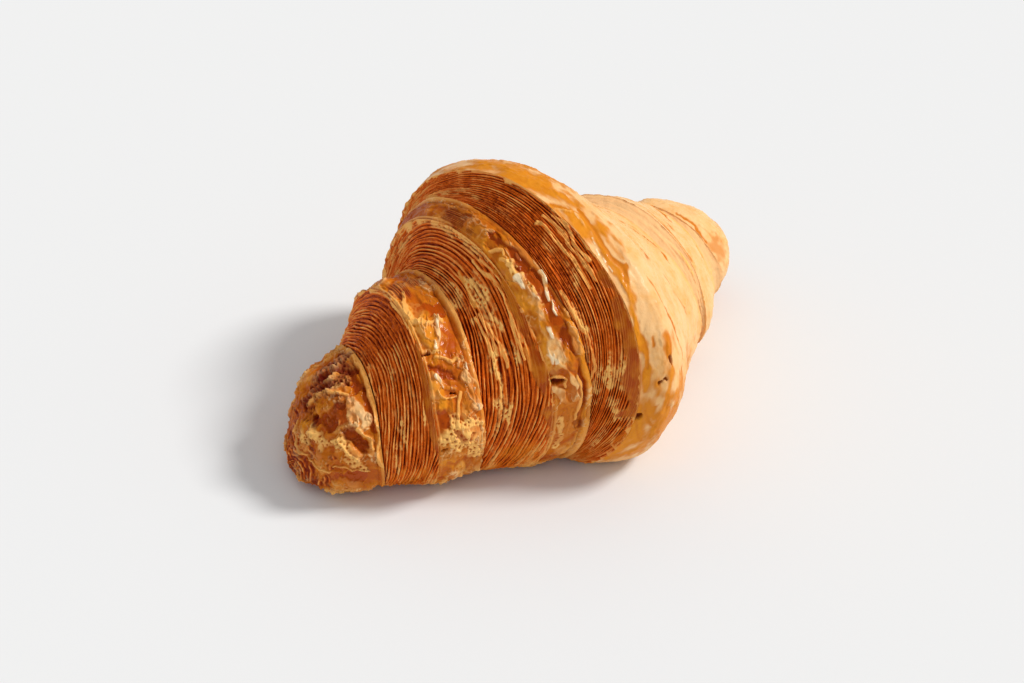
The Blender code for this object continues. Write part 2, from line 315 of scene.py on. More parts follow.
# A band of the roll: the rings it runs through, its seed and marks, whether it is a cut face, its rows and
# columns, how far it swells, its leaves and how far they slide across the face on their way round, how far
# its right edge stands up as a lip in millimetres, how pale it is, how deep its leaves or blisters are, and
# how much wash has pooled on it
Band = namedtuple("Band", "name rings seed marks face rows columns swell leaves slide lip pale depth wash",
                  defaults=((), False, 150, 650, 0.0, 0, 0.0, 0.0, 0.0, 1.0, 0.0))
BANDS = (
    Band("left_tip", ("left nose", "left tip"), 11, TIP_MARKS, rows=180, columns=540, lip=0.3, depth=1.3,
         wash=0.8),
    Band("fourth_face", ("left tip", "fourth coil"), 12, FOURTH_FACE_MARKS, True, swell=-0.5 * MM, leaves=17,
         slide=0.5),
    Band("fourth_skin", ("fourth coil", "fourth face"), 13, FOURTH_SKIN_MARKS, rows=110, columns=800,
         swell=0.8 * MM, lip=0.75, pale=0.05, depth=1.1, wash=0.8),
    Band("third_face", ("fourth face", "third coil"), 14, THIRD_FACE_MARKS, True, swell=-0.6 * MM, leaves=17,
         slide=0.8),
    Band("third_skin", ("third coil", "third face"), 15, THIRD_SKIN_MARKS, rows=90, columns=900,
         swell=0.8 * MM, lip=0.75, depth=0.8, wash=0.8),
    Band("outer_face", ("third face", "outer edge"), 16, OUTER_FACE_MARKS, True, swell=-0.4 * MM, leaves=19,
         slide=1.2),
    Band("outer_skin", ("outer edge", "crest", "shoulder", "right ridge"), 17, OUTER_SKIN_MARKS, rows=160,
         columns=600, lip=0.15, pale=0.9, depth=0.5),
    Band("right_step", ("right ridge", "right step"), 18, face=True, rows=30, columns=500, leaves=2,
         slide=0.1, pale=0.95, depth=0.3),
    Band("right_skin", ("right step", "right edge"), 19, RIGHT_SKIN_MARKS, rows=80, columns=500,
         swell=0.5 * MM, lip=0.1, pale=0.95, depth=0.4),
    Band("tip_step", ("right edge", "right tip"), 20, face=True, rows=24, columns=420,
         swell=-0.5 * MM, leaves=1, slide=0.1, pale=0.95, depth=0.3),
    Band("right_tip", ("right tip",), 21, RIGHT_TIP_MARKS, rows=100, columns=420, pale=0.95, depth=0.35),
)
TIPS = ("left_tip", "right_tip")

# The turn at which the leaves start to slide across a face, and how far a band's ends turn in towards its
# middle
SLIDE_START = math.radians(100)
INSET = 0.05
# The lip along a skin's right edge: its width, and how many leaves it has split into
LIP_WIDTH = 1.5 * MM
LIP_LINES = 2.5
# Turns in degrees over which the tables' marks come in, and over which they give way to those set by chance
SEEN_FROM = (46, 60)
SEEN_TO = (200, 212)
# Cells of random numbers along each side of a lattice
LATTICE = 32
# Noise on the marks: the cells that fray them and that bend them, in millimetres, and how far it bends them
FRAY_CELL = 2.6
BEND_CELL = 5.0
MARK_BEND = 1.1 * MM
# How far noise is drawn out along the leaves of a face and of a skin
FACE_STRETCH = {"marks": 2.0, "fray": 3.0, "grains": 1.5}
SKIN_STRETCH = {"marks": 1.7, "streaks": 5.0, "grains": 1.3}
# Cells of the noise on a face and on a skin, in millimetres
FACE_CELL = {"fray": 1.3, "rough": 0.8, "grains": 0.8}
SKIN_CELL = {"blister": 4.5, "crinkle": 2.4, "wash": 5.0, "streaks": 1.1, "patches": 13.0, "grains": 1.0}
# How far each of these stands above a face or a skin, in metres, or lies below it
FACE_RISE = {"rough": 0.14 * MM, "rough crumb": 0.2 * MM, "froth": 0.5 * MM, "crumb": 0.3 * MM,
             "strip": -0.1 * MM, "strip lines": 0.22 * MM, "rim": 0.4 * MM, "ridge": 0.25 * MM}
SKIN_RISE = {"pale": 0.40 * MM, "wet": 0.25 * MM, "shine": 0.35 * MM, "gold": 0.15 * MM, "rim": 0.45 * MM,
             "goldrim": 0.5 * MM, "pool": -0.35 * MM, "deep": -0.55 * MM, "pit": -1.3 * MM, "froth": 0.5 * MM,
             "crumb": 0.6 * MM, "brush": -0.15 * MM, "split": 0.25 * MM, "groove": -0.35 * MM,
             "hem": 0.35 * MM}


def smooth_step(low, high, value):
    """0 below low and 1 above high, with the cubic 3t^2 - 2t^3 between."""
    t = np.clip((value - low) / (high - low), 0, 1)
    return t * t * (3 - 2 * t)


def bell(value, width):
    """A bell round 0: e to the power of minus the square of value over width."""
    return np.exp(-((value / width) ** 2))


def lattice_noise(points, seed):
    """Noise from -1 to 1: random numbers on a lattice of unit cells, joined by cubic steps."""
    table = np.random.default_rng(seed).uniform(-1, 1, [LATTICE] * 3).astype(np.float32)
    cell = np.floor(points).astype(np.int32)
    part = (points - cell).astype(np.float32)
    part = part * part * (3 - 2 * part)
    total = np.zeros(points.shape[:-1], np.float32)
    for corner in np.ndindex(2, 2, 2):
        weight = np.ones_like(total)
        for axis in range(3):
            weight = weight * (part[..., axis] if corner[axis] else 1 - part[..., axis])
        index = [(cell[..., axis] + corner[axis]) % LATTICE for axis in range(3)]
        total += weight * table[tuple(index)]
    return total


def layered_noise(points, size, seed, layers=3):
    """Lattice noise of this cell size, plus layers of half the size and half the strength each."""
    total = 0
    for layer in range(layers):
        turned = points @ TURNS[layer % len(TURNS)]
        total = total + lattice_noise(turned / (size / 2**layer) + 7.3 * layer, seed + layer) / 2**layer
    return total


def turning(angles):
    """The rotation matrix for these three angles about X, Y and Z."""
    matrix = np.eye(3)
    for axis, angle in enumerate(angles):
        i, j = [k for k in range(3) if k != axis]
        spin = np.eye(3)
        spin[i, i] = spin[j, j] = math.cos(angle)
        spin[i, j] = -math.sin(angle)
        spin[j, i] = math.sin(angle)
        matrix = matrix @ spin
    return matrix


# Each layer of noise is turned, so that the lattices don't line up
TURNS = [turning((0.5, 0.3, 0.7)), turning((1.1, 0.6, 0.2)), turning((0.2, 1.3, 0.9))]


def round_noise(along, turn, cells, seed):
    """Noise that varies with a distance along the roll, in cells, and repeats after one turn round it."""
    ring = cells / (2 * np.pi)
    along, turn = np.broadcast_arrays(along, turn)
    points = np.stack([along, ring * np.cos(turn) + 9.1, ring * np.sin(turn) + 5.7], axis=-1)
    return lattice_noise(points, seed)


def nose_knots(ring, nose_x):
    """Rings of a rounded nose, from near its point up to the ring that it grows from. A ring's size at a
    share of the nose's reach is (1 - reach ^ sharpness) ^ fullness."""
    size = np.sin(np.pi / 2 * np.arange(NOSE_KNOTS) / NOSE_KNOTS)
    size[0] = 0.02
    reach = (1 - size ** (1 / NOSE_FULLNESS)) ** (1 / NOSE_SHARPNESS)
    knots = np.repeat(np.array([ring]), NOSE_KNOTS, axis=0)
    knots[:, X] += (nose_x - knots[:, X]) * reach
    knots[:, [RADIUS, LEAN_FAR, LEAN_TOP]] *= size[:, None]
    return knots


def band_knots(band):
    """The rings that a band runs through, with a nose's rings where it ends in one."""
    knots = np.array([RINGS[name] for name in band.rings])
    if band.rings[0] == "left nose":
        return np.concatenate([nose_knots(knots[0], NOSE_LEFT), knots])
    if band.rings == ("right tip",):
        return np.concatenate([knots, nose_knots(knots[0], NOSE_RIGHT)[::-1]])
    return knots


def band_rows(band):
    """Ring sizes at the rows of a band, and each row's share of the way along it. Between the knots they
    follow a cubic whose slope at a knot is that between its neighbours."""
    knots = band_knots(band)
    steps = np.hypot(np.diff(knots[:, X]), np.diff(knots[:, RADIUS]))
    at = np.concatenate([[0], np.cumsum(steps)])
    share = np.linspace(0, 1, band.rows)
    place = share * at[-1]
    if len(knots) > 2:
        slope = np.gradient(knots, at, axis=0)
    else:
        slope = np.repeat(np.diff(knots, axis=0) / at[-1], 2, axis=0)
    left = np.clip(np.searchsorted(at, place, side="right") - 1, 0, len(at) - 2)
    length = steps[left][:, None]
    t = (place[:, None] - at[left][:, None]) / length
    values = (knots[left] * (1 + 2 * t) * (1 - t) ** 2 + knots[left + 1] * t**2 * (3 - 2 * t)
              + length * (slope[left] * t * (1 - t) ** 2 + slope[left + 1] * t**2 * (t - 1)))
    values[:, RADIUS] += 4 * share * (1 - share) * band.swell
    return values, share


def settle(height):
    """Heights with the underside made flat: 0 well below the base, and a parabola up to the free
    surface."""
    near = (height + BASE_ROUNDING) ** 2 / (4 * BASE_ROUNDING)
    return np.where(height <= -BASE_ROUNDING, 0.0, np.where(height >= BASE_ROUNDING, height, near))


def points_on_roll(rings, turn):
    """The grid of points for these rings and turns: an oval round the bent middle line, flattened
    underneath."""
    x, radius, lean_far, lean_top, push_far, push_up, oval = (rings[:, [k]] for k in range(7))
    far = np.cos(turn)[None]
    top = np.sin(turn)[None]
    whole = np.minimum(1.0, radius / SWELLING_FADE)
    waver = WAVER * whole * np.sin(3 * turn[None] + 2 * np.pi * x / WAVER_PITCH)
    along = x + lean_far * far + lean_top * top + waver
    drift = 2 * np.pi * x / SWELLING_PITCH
    uneven = SWELLING * whole * np.sin(5 * turn[None] + drift) * np.sin(2 * turn[None] - drift / 2)
    size = radius * (1 + push_far * far + push_up * top + oval * np.cos(2 * turn[None])) + uneven
    lift = LIFT_LEFT * np.clip(along / NOSE_LEFT, 0, None) ** 2
    lift = lift + LIFT_RIGHT * np.clip(along / NOSE_RIGHT, 0, None) ** 2
    height = settle(AXIS_HEIGHT * radius + lift + HEIGHT_TO_WIDTH * size * top)
    across = BEND / 2 * along**2 + size * far
    return np.stack([along - BEND * along * size * far, across, height], axis=-1)


def band_width(grid):
    """The mean width of a band, along its surface from its first row to its last."""
    return np.linalg.norm(np.diff(grid, axis=0), axis=-1).sum(axis=0).mean()


def slid_share(share, turn, band):
    """The share of the way across a face, moved on by the slide of its leaves: half of 1 minus the cosine
    of the turn from where the slide starts."""
    return share + band.slide * (1 - np.cos(turn - SLIDE_START)) / 2


def grid_normals(points):
    """Outward unit normals of a grid that closes on itself round the roll: the cross product of its two
    slopes."""
    along = np.gradient(points, axis=0)
    round_it = np.roll(points, -1, axis=1) - np.roll(points, 1, axis=1)
    normal = np.cross(round_it, along)
    length = np.linalg.norm(normal, axis=-1, keepdims=True)
    return normal / np.maximum(length, 1e-12)


def frame_shift():
    """How far the roll moves to sit in the middle of the CAD box."""
    turn = np.linspace(0, 2 * np.pi, 256)
    points = np.concatenate([points_on_roll(band_rows(band)[0], turn).reshape(-1, 3) for band in BANDS])
    middle = (points.min(axis=0) + points.max(axis=0)) / 2
    shift = (np.array(CAD_LOW) + np.array(CAD_HIGH)) / 2 - middle
    shift[2] = CAD_LOW[2]
    return shift


SHIFT = frame_shift()

# What a point of the dough carries for its finish: how far it is up a leaf's lip, painted paler partly as
# light catching the edge, washed skin, brown pool of wash, pale underbaked dough, froth of crumb, painted
# shade in hollows, gaps, creases and pits, bright gold, shine, which is gloss and a painted highlight, and
# tan
Finish = namedtuple("Finish", "lip skin pool pale froth dark gold shine tan")
# Kinds whose edges fade out, and kinds whose edges stay nearly even
FADING = ("gold", "tan", "brush")
EVEN = ("rim", "goldrim", "ochre", "shine")
KINDS = ("rim", "goldrim", "shine", "gold", "ochre", "tan", "pool", "deep", "pit", "pale", "froth", "brush",
         "leaves", "crumb", "void", "strip")


def inside(item, distance, ragged):
    """How far a point is inside a mark's edge, which lies at the distance of 1 and is frayed by the
    noise."""
    soft = 0.85 if item.kind in FADING else 0.4
    uneven = 0.4 if item.kind in EVEN else 1.0
    return item.amount * smooth_step(-0.7 * soft, soft, 1 - distance + uneven * ragged)


def mark_inside(mark, share, turn, ragged):
    """1 inside a slanted ellipse with a ragged edge, and 0 outside it."""
    down = ((np.degrees(turn) - mark.turn + 180) % 360 - 180) / mark.tall
    across = (share - mark.share) / mark.wide - mark.slant * down
    return inside(mark, np.hypot(across, down), ragged)


def stroke_inside(stroke, share, turn, ragged, width, radius):
    """1 along a stroke's line and 0 away from it, by the least distance to its pieces over half its width.
    The band is laid flat for this: its width across, and each row's radius times the turn along it."""
    nearest = np.full(ragged.shape, np.inf)
    for start, end in zip(stroke.places[:-1], stroke.places[1:]):
        run = (end[0] - start[0]) * width
        rise = math.radians(end[1] - start[1]) * radius
        right = (share - start[0]) * width
        down = (turn - math.radians(start[1])) * radius
        part = np.clip((right * run + down * rise) / (run**2 + rise**2), 0, 1)
        nearest = np.minimum(nearest, np.hypot(right - part * run, down - part * rise))
    return inside(stroke, nearest / (stroke.wide * MM), ragged)


def band_marks(band, share, turn, points, width, radius):
    """For each kind, how much of it lies at each point. Noise bends the marks, and frays their edges."""
    ragged = layered_noise(points, FRAY_CELL, 100 * band.seed + 60, 4)
    share = share + MARK_BEND / width * layered_noise(points, BEND_CELL, 100 * band.seed + 61, 3)
    turn = turn + MARK_BEND / radius * layered_noise(points, BEND_CELL, 100 * band.seed + 62, 3)
    found = {kind: np.zeros(ragged.shape, np.float32) for kind in KINDS}
    for item in band.marks:
        if isinstance(item, Mark):
            covered = mark_inside(item, share, turn, ragged)
        else:
            covered = stroke_inside(item, share, turn, ragged, width, radius)
        found[item.kind] = np.maximum(found[item.kind], covered)
    return found


def leaf_strength(leaf, turn, seed):
    """How far each leaf's edge stands up at each turn: noise of its own for each leaf, in long and short
    swings."""
    strength = 0.62 + 0.62 * round_noise(leaf * 3.37, turn, 13, seed + 2)
    return np.clip(strength + 0.38 * round_noise(leaf * 5.13, turn, 50, seed + 3), 0.04, 1.25)


def leaf_drift(slid, turn, wander, fine, seed):
    """How far the leaves wander across the band: noise in slow swings, with half as much in shorter ones
    and this much in fine ones."""
    return wander * (round_noise(2.5 * slid, turn, 6, seed) + 0.5 * round_noise(6 * slid, turn, 17, seed + 1)
                     + fine * round_noise(11 * slid, turn, 48, seed + 4))


def leaf_edges(slid, turn, count, wander, seed):
    """The edges of overlapping leaves. A phase grows with the share and wanders slowly round the roll; an
    edge lies at each whole number, with a gentle bell before it and a steep one after it, and a gap opens
    just behind it. Returns the edges and the gaps."""
    phase = count * slid + leaf_drift(slid, turn, wander, 0.2, seed)
    leaf = np.floor(phase)
    part = phase - leaf
    passed = leaf_strength(leaf, turn, seed)
    ahead = leaf_strength(leaf + 1, turn, seed)
    edge = np.maximum(passed * bell(part, 0.11), ahead * bell(part - 1, 0.26))
    opening = np.clip(0.62 + 0.75 * round_noise(leaf * 4.21, turn, 19, seed + 5), 0.08, 1.3)
    return edge, opening * bell(part - 0.30, 0.19)


def leaf_lines(slid, turn, count, width, wander, seed):
    """Fine ridges along the leaves: a bell at each whole number of a wandering phase, fading in and out."""
    phase = count * slid + leaf_drift(slid, turn, wander, 0.22, seed)
    leaf = np.round(phase)
    return bell(phase - leaf, width) * leaf_strength(leaf, turn, seed)


def pored(points, size, seed):
    """Crumb with small round pores: 0 in a pore at one random point of each cell of a lattice, and 1
    between them, by the square of the distance to the nearest one."""
    table = np.random.default_rng(seed).uniform(0.05, 0.95, [LATTICE] * 3 + [3]).astype(np.float32)
    place = (points / size).astype(np.float32)
    cell = np.floor(place).astype(np.int32)
    nearest = np.full(place.shape[:-1], 9.0, np.float32)
    for step in np.ndindex(3, 3, 3):
        at = cell + (np.array(step) - 1)
        middle = at + table[tuple(at[..., axis] % LATTICE for axis in range(3))]
        nearest = np.minimum(nearest, ((place - middle) ** 2).sum(axis=-1))
    return smooth_step(0.02, 0.30, nearest)


def drawn_out(grid, share, turn, band, stretch):
    """Points in millimetres to take noise at, drawn out along the leaves by this much: the distance across
    the band, and a circle that is smaller than the roll by the stretch. On the noses they are the points
    themselves."""
    if "nose" in band.rings[0] or len(band.rings) == 1:
        return grid / MM
    across = band_width(grid) / MM
    ring = np.mean([RINGS[name][RADIUS] for name in band.rings]) / MM / stretch
    share, turn = np.broadcast_arrays(share, turn)
    return np.stack([share * across, ring * np.cos(turn), ring * np.sin(turn)], axis=-1)


def face_relief(grid, share, turn, band, look, sizes):
    """Height and finish of a cut face: the leaves' edges, painted paler partly as light catching them, with
    gaps behind them painted dark as shade, froth between some of them, crumb where they have fused, smooth
    strips where the skin has rolled over, and a crease at the face's foot with painted shade in it."""
    seed = 100 * band.seed
    points = drawn_out(grid, share, turn, band, FACE_STRETCH["marks"])
    marks = band_marks(band, share, turn, points, *sizes)
    slid = slid_share(share, turn, band)
    edge, gap = leaf_edges(slid, turn, band.leaves, 0.9, seed)
    thin, slit = leaf_edges(slid, turn, band.leaves * 1.7, 1.8, seed + 10)
    crumb = marks["crumb"]
    calm = 1 - 0.6 * crumb
    rim = np.maximum(marks["rim"], marks["goldrim"])
    gap = np.clip(gap * calm * (0.9 + 1.1 * marks["void"]) * (1 - rim) * (1 - 0.6 * marks["gold"]), 0, 1.4)
    frayed = drawn_out(grid, share, turn, band, FACE_STRETCH["fray"])
    fray = layered_noise(frayed, FACE_CELL["fray"], seed + 40, 3)
    edge = np.clip(edge * calm * (1 - 0.25 * marks["void"]) * (0.9 + 0.8 * fray), 0, 1.2)
    gap = np.clip(gap * (1 - 0.6 * fray), 0, 1.4)
    where = round_noise(4 * slid, turn, 9, seed + 30) + 0.4 * round_noise(12 * slid, turn, 34, seed + 31)
    froth = np.maximum(0.7 * smooth_step(0.42, 0.75, where), marks["froth"]) * (1 - 0.85 * crumb)
    froth = froth * (1 - 0.7 * np.clip(gap, 0, 1)) * (1 - 0.5 * marks["gold"])
    froth = froth * smooth_step(-0.5, 0.45, fray + 0.1)
    strip = marks["strip"]
    rough = layered_noise(points, FACE_CELL["rough"], seed + 20, 2)
    grains = pored(drawn_out(grid, share, turn, band, FACE_STRETCH["grains"]), FACE_CELL["grains"], seed + 25)
    leaf_height = 0.55 * edge + 0.16 * thin * (1 - 0.5 * edge) - 0.62 * gap - 0.20 * slit
    height = look.leaf_depth * band.depth * leaf_height
    height = height + (FACE_RISE["rough"] + FACE_RISE["rough crumb"] * crumb) * rough
    height = height * (1 - 0.75 * froth) + FACE_RISE["froth"] * froth * (grains - 0.2)
    height = height + FACE_RISE["crumb"] * crumb * (grains - 0.5)
    started = smooth_step(0.0, 0.05, share)
    ripple = leaf_lines(slid, turn, band.leaves * 1.5, 0.25, 2, seed + 50)
    height = height * (1 - strip) * started + strip * (FACE_RISE["strip lines"] * ripple + FACE_RISE["strip"])
    height = height + FACE_RISE["rim"] * rim * (1 - strip)
    ridge = bell(share - 1, 0.014)
    foot = bell(share, 0.03)
    height = height + FACE_RISE["ridge"] * ridge - look.crease * foot
    # The colour runs from gap through leaf to lip with how high a point stands: paler on the leaf edges and
    # the top ridge, partly painted light, and darker in the gaps behind them, painted shade
    rise = 0.355 + 0.66 * edge + 0.18 * thin * (1 - edge) - 0.50 * gap - 0.22 * slit - 0.10 * crumb
    # Painted shade: dark in the crease at the face's foot and in the open gaps between leaves; below, the
    # crumb's pores are darkened the same way
    painted_shade = 0.85 * foot * (1 - band.pale) + 0.55 * gap * (1 - edge) * (1 - strip) * (1 - band.pale)
    bright = np.clip(marks["gold"] * (1 - 0.6 * gap) + 0.7 * marks["goldrim"], 0, 1)
    finish = Finish(
        lip=np.clip(np.maximum(rise, 0.95 * rim) * (1 - strip) + 0.35 * strip * ripple + 0.6 * ridge, 0, 1),
        skin=np.clip(strip * 0.9 + 0.4 * marks["goldrim"], 0, 1),
        pool=strip * np.clip(0.65 + 0.8 * fray, 0, 1),
        pale=band.pale + 0 * edge,
        froth=froth * (1 - strip) * smooth_step(0.1, 0.65, grains),
        dark=np.clip(painted_shade + 0.35 * crumb * (1 - grains), 0, 1),
        gold=bright * (1 - strip) + 0.15 * strip,
        shine=0 * strip,
        tan=0.35 * crumb,
    )
    return height, finish


def skin_relief(grid, share, turn, band, look, sizes):
    """Height and finish of a washed skin: soft blisters, brown hollows where the wash has run together,
    ridges between them painted pale as light on their crests, shine marks, glossy and painted pale as
    highlights, frothy patches where it has torn, pits and grooves painted dark as shade, and a split lip
    along its right edge, painted paler partly as light on it."""
    seed = 100 * band.seed
    points = drawn_out(grid, share, turn, band, SKIN_STRETCH["marks"])
    marks = band_marks(band, share, turn, points, *sizes)
    seen = seen_zone(share, turn, band)
    unseen = 1 - 0.6 * seen
    blister = layered_noise(points, SKIN_CELL["blister"], seed, 4)
    crinkle = layered_noise(points + 0.8 * blister[..., None], SKIN_CELL["crinkle"], seed + 9, 4)
    fold = bell(crinkle, 0.11) * smooth_step(-0.35, 0.25, blister)
    wash = layered_noise(points + 1.6 * blister[..., None], SKIN_CELL["wash"], seed + 10, 3)
    dark_side = band.pale < 0.5
    streaked = drawn_out(grid, share, turn, band, SKIN_STRETCH["streaks"])
    streaks = layered_noise(streaked, SKIN_CELL["streaks"], seed + 13, 3)
    patches = smooth_step(0.05, 0.75, layered_noise(points, SKIN_CELL["patches"], seed + 14, 4))
    patches = patches * (1 - seen) * (1 - dark_side)
    grains = pored(drawn_out(grid, share, turn, band, SKIN_STRETCH["grains"]), SKIN_CELL["grains"], seed + 25)
    shine = marks["shine"] * smooth_step(-0.28, 0.22, streaks + 0.35 * crinkle)
    raised = np.clip(marks["pale"] + marks["shine"] + marks["rim"] + marks["goldrim"], 0, 1)
    flow = band.wash * smooth_step(0.0, 0.45, wash) * unseen
    deep = np.clip(marks["deep"], 0, 1) * (1 - 0.85 * raised) * smooth_step(-0.5, 0.4, crinkle + 0.2)
    pool = np.clip(np.maximum(flow, marks["pool"]) * (1 - 0.9 * raised) * (1 - 0.8 * marks["gold"]), 0, 1)
    low = smooth_step(0.0, 0.6, -blister - 0.5 * crinkle)
    pool = np.maximum(np.maximum(pool, deep), 0.6 * low * dark_side * (1 - raised))
    loose = 0.8 * band.wash * smooth_step(0.15, 0.55, -wash + 0.2 * blister) * unseen
    froth = np.clip(np.maximum(marks["froth"], loose), 0, 1) * (1 - pool) * (1 - marks["shine"])
    leaves = np.clip(marks["leaves"], 0, 1)
    crumb = marks["crumb"]
    line = leaf_lines(share + 0.12 * np.sin(turn), turn, 22, 0.24, 1.5, seed + 70) * leaves
    calm = band.depth * (1 - 0.5 * pool) * (1 - leaves)
    height = look.blister_height * calm * (blister + 0.35 * crinkle + 0.6 * fold)
    rise = SKIN_RISE
    height = height + band.depth * (rise["wet"] * marks["shine"] + rise["shine"] * shine)
    height = height + band.depth * (rise["pool"] * pool + rise["deep"] * deep)
    for kind in ("pale", "gold"):
        height = height + band.depth * rise[kind] * marks[kind]
    for kind in ("rim", "goldrim", "pit"):
        height = height + rise[kind] * marks[kind]
    height = height + rise["brush"] * np.maximum(marks["brush"], marks["ochre"])
    height = height + rise["froth"] * froth * (grains - 0.25)
    height = height + rise["crumb"] * crumb * (blister + grains - 0.8)
    height = height + 0.5 * look.leaf_depth * (line - 0.5 * leaves)
    split = leaf_lines(share, turn, LIP_LINES * sizes[0] / LIP_WIDTH, 0.25, 0.9, seed + 80)
    lifted = np.clip(0.7 + 0.8 * round_noise(0 * share, turn, 9, seed + 90), 0.2, 1.3)
    lip_share = LIP_WIDTH / sizes[0]
    edge = smooth_step(1 - lip_share, 1 - lip_share / 3, share + 0.2 * lip_share * crinkle)
    edge = edge * lifted * (band.lip > 0)
    height = height * (1 - 0.5 * edge) + edge * (band.lip * MM + rise["split"] * split)
    # A groove in front of the lip, sunk and painted dark as the lip's shadow
    groove = bell(share - (1 - 1.25 * lip_share), 0.2 * lip_share) * dark_side * lifted * (band.lip > 0)
    # A hem along the left edge, raised and painted paler, partly as light on it
    hem = bell(share * sizes[0] / MM - 0.6, 0.3) * (band.lip > 0.5) * np.clip(lifted, 0, 1)
    height = height + rise["groove"] * groove + rise["hem"] * hem
    worn = marks["brush"] * 0.8 + marks["gold"] + marks["ochre"] + marks["pit"] + 0.7 * patches
    bare = band.pale * (1 - np.clip(worn, 0, 1))
    pale = np.maximum(bare, np.clip(marks["pale"] * (0.75 + 0.6 * crinkle), 0, 1))
    # Shine marks paint the dough pale as highlights
    pale = np.maximum(pale, np.clip(marks["shine"] * (0.65 + 0.8 * crinkle), 0, 1))
    # Painted light: the crests of the blisters and crinkles are painted paler on the browner bands
    painted_crest_light = 0.75 * fold + 0.45 * smooth_step(0.15, 0.8, blister + 0.6 * crinkle)
    pale = np.maximum(pale, painted_crest_light * (1 - 0.8 * pool) * (1 - 0.4 * marks["gold"]) * dark_side)
    # Painted shade: dark in the groove, in the shadowed hollows of the deep marks, in pits, between leaf
    # lines, in the crumb's pores and low crinkles, and in the froth's pores
    painted_shade = 0.45 * groove + deep * (1 - edge) * np.clip(0.42 - 0.6 * crinkle, 0, 0.8) + marks["pit"]
    painted_shade = painted_shade + 0.5 * leaves * (1 - line) + crumb * (0.75 - 0.5 * grains - 0.5 * crinkle)
    painted_shade = painted_shade + 0.35 * marks["froth"] * (1 - smooth_step(0.05, 0.35, grains))
    bright = np.maximum(marks["gold"], 0.8 * marks["goldrim"]) * (1 - deep)
    # The lip along the right edge is painted paler and golder, partly as light catching it
    finish = Finish(
        lip=np.clip(np.maximum.reduce([line, edge * (0.55 + 0.45 * split), marks["rim"], hem]), 0, 1),
        skin=1 - 0.9 * leaves - 0.5 * crumb * (1 - leaves),
        pool=pool * (1 - 0.9 * edge),
        pale=np.clip(np.maximum(pale, 0.35 * edge), 0, 1),
        froth=froth * smooth_step(0.1, 0.6, grains) * (1 - edge),
        dark=np.clip(painted_shade, 0, 1),
        gold=np.clip(bright + 0.6 * edge + patches, 0, 1),
        shine=np.clip(shine + 0.2 * pool, 0, 1),
        tan=np.clip(marks["tan"] + 0.9 * marks["ochre"] + 0.25 * marks["brush"], 0, 1),
    )
    return height, finish


def seen_zone(share, turn, band):
    """1 over the near side, whose marks are in the tables, and 0 on the far side, where chance places
    them."""
    if not band.marks:
        return 0 * share * turn
    degrees = np.degrees(turn) % 360
    return smooth_step(*SEEN_FROM, degrees) * (1 - smooth_step(*SEEN_TO, degrees)) + 0 * share


Look = namedtuple("Look", "leaf_depth blister_height crease")


